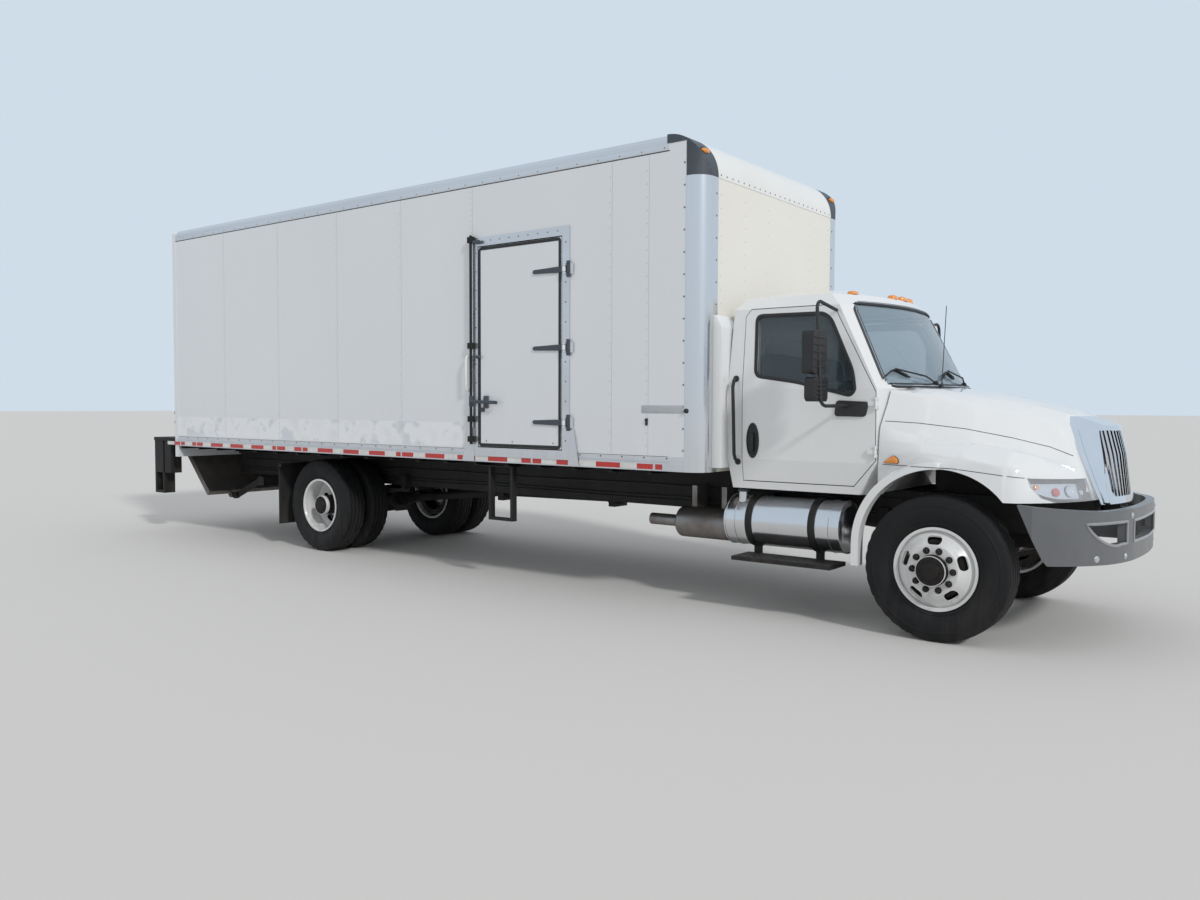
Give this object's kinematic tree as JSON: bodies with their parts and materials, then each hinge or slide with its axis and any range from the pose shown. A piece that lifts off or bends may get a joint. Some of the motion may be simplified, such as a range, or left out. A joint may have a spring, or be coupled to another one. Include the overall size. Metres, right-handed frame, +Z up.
{
  "type": "box truck",
  "caption": "Conventional-cab box truck with a long van body, side door, twin rear wheels, tilting hood and folded tail lift.",
  "frame": {"origin": "on the ground, below the middle of the overall length and width", "axes": "+X forward to the bumper, +Y to the truck's left, +Z up"},
  "size_m": [11.48, 2.85, 3.8599],
  "materials": {
    "white_paint": "gloss",
    "grey_paint": "satin",
    "slate_paint": "satin",
    "black_paint": "satin",
    "polished_aluminium": "satin",
    "chrome": "polished",
    "steel": "dull",
    "iron": "rough",
    "tyre": "matt",
    "rubber": "matt",
    "glass": "clear",
    "lens": "clear",
    "amber_lens": "clear",
    "grey_trim": "matt",
    "black_plastic": "matt",
    "seat_cloth": "woven"
  },
  "bodies": {
    "chassis": {"bed_extension_and_steps": "black_paint", "cab_glass": "glass", "cab_shell": "white_paint", "cargo_floor": "black_paint", "corner_caps": "slate_paint", "corner_posts": "polished_aluminium", "dashboard": "grey_trim", "drive_line": "iron", "engine_and_radiator": "iron", "exhaust": "steel", "frame": "black_paint", "front_axle": "iron", "front_bumper": "grey_paint", "front_wall": "white_paint", "fuel_tank": "polished_aluminium", "leaf_springs": "iron", "left_wall": "white_paint", "lift_frame": "black_paint", "mud_flaps": "rubber", "rear_axle": "iron", "rear_frame": "white_paint", "right_wall": "white_paint", "roll_up_door": "white_paint", "roof": "polished_aluminium", "roof_lamps": "amber_lens", "roof_nose": "polished_aluminium", "seats": "seat_cloth", "side_door_frame": "polished_aluminium", "side_door_lock_rod": "steel", "side_rails": "polished_aluminium", "stirrup_step": "black_paint", "tank_step_and_straps": "black_paint"},
    "knuckle_left": {"knuckle_left": "iron"},
    "knuckle_right": {"knuckle_right": "iron"},
    "tie_rod": {"tie_rod": "iron"},
    "wheel_front_left": {"wheel_front_left": "white_paint", "tyre_front_left": "tyre"},
    "wheel_front_right": {"wheel_front_right": "white_paint", "tyre_front_right": "tyre"},
    "wheels_rear_left": {"wheels_rear_left": "white_paint", "tyres_rear_left": "tyre"},
    "wheels_rear_right": {"wheels_rear_right": "white_paint", "tyres_rear_right": "tyre"},
    "hood": {"hood": "white_paint", "grille": "chrome", "headlamps": "lens", "hood_hinge": "black_paint"},
    "cab_door_left": {"cab_door_left": "white_paint", "door_glass_left": "glass", "mirror_left": "black_plastic"},
    "cab_door_right": {"cab_door_right": "white_paint", "door_glass_right": "glass", "mirror_right": "black_plastic"},
    "side_door": {"side_door": "white_paint"},
    "lift_arms": {"lift_arms": "black_paint"},
    "lift_heels": {"lift_heels": "black_paint"},
    "lift_platform": {"lift_platform": "steel"}
  },
  "joints": [
    {"name": "steer_left", "type": "hinge", "parent": "chassis", "child": "knuckle_left", "pos_m": [4.59, 0.84, 0.52], "axis": [0, 0, 1], "range_deg": [-40, 40]},
    {"name": "steer_right", "type": "hinge", "parent": "chassis", "child": "knuckle_right", "pos_m": [4.59, -0.84, 0.52], "axis": [0, 0, 1], "range_deg": [-40, 40]},
    {"name": "tie_rod_swing", "type": "hinge", "parent": "knuckle_left", "child": "tie_rod", "pos_m": [4.39, 0.84, 0.406], "axis": [0, 0, 1], "range_deg": [-40, 40]},
    {"name": "front_left_wheel_spin", "type": "hinge", "parent": "knuckle_left", "child": "wheel_front_left", "pos_m": [4.59, 1.015, 0.52], "axis": [0, 1, 0], "continuous": true},
    {"name": "front_right_wheel_spin", "type": "hinge", "parent": "knuckle_right", "child": "wheel_front_right", "pos_m": [4.59, -1.015, 0.52], "axis": [0, 1, 0], "continuous": true},
    {"name": "rear_left_wheels_spin", "type": "hinge", "parent": "chassis", "child": "wheels_rear_left", "pos_m": [-2.395, 0.85, 0.52], "axis": [0, 1, 0], "continuous": true},
    {"name": "rear_right_wheels_spin", "type": "hinge", "parent": "chassis", "child": "wheels_rear_right", "pos_m": [-2.395, -0.85, 0.52], "axis": [0, 1, 0], "continuous": true},
    {"name": "cab_door_left_hinge", "type": "hinge", "parent": "chassis", "child": "cab_door_left", "pos_m": [4.104, 1.043, 1.6], "axis": [0, 0, -1], "range_deg": [0, 70]},
    {"name": "cab_door_right_hinge", "type": "hinge", "parent": "chassis", "child": "cab_door_right", "pos_m": [4.104, -1.043, 1.6], "axis": [0, 0, 1], "range_deg": [0, 70]},
    {"name": "side_door_hinge", "type": "hinge", "parent": "chassis", "child": "side_door", "pos_m": [1.354, -1.321, 2.2], "axis": [0, 0, 1], "range_deg": [0, 170]},
    {"name": "hood_tilt", "type": "hinge", "parent": "chassis", "child": "hood", "pos_m": [5.484, 0, 1], "axis": [0, 1, 0], "range_deg": [0, 55]},
    {"name": "lift_raise", "type": "hinge", "parent": "chassis", "child": "lift_arms", "pos_m": [-4.26, 0, 0.7], "axis": [0, -1, 0], "range_deg": [0, 40]},
    {"name": "lift_heel_level", "type": "hinge", "parent": "lift_arms", "child": "lift_heels", "pos_m": [-4.85, 0, 0.455], "axis": [0, -1, 0], "range_deg": [-40, 0]},
    {"name": "platform_unfold", "type": "hinge", "parent": "lift_heels", "child": "lift_platform", "pos_m": [-4.91, 0, 0.461], "axis": [0, -1, 0], "range_deg": [0, 47]}
  ],
  "couplings": [
    {"joint": "steer_right", "follows": "steer_left", "ratio": 1},
    {"joint": "tie_rod_swing", "follows": "steer_left", "ratio": -1},
    {"joint": "lift_heel_level", "follows": "lift_raise", "ratio": -1}
  ]
}
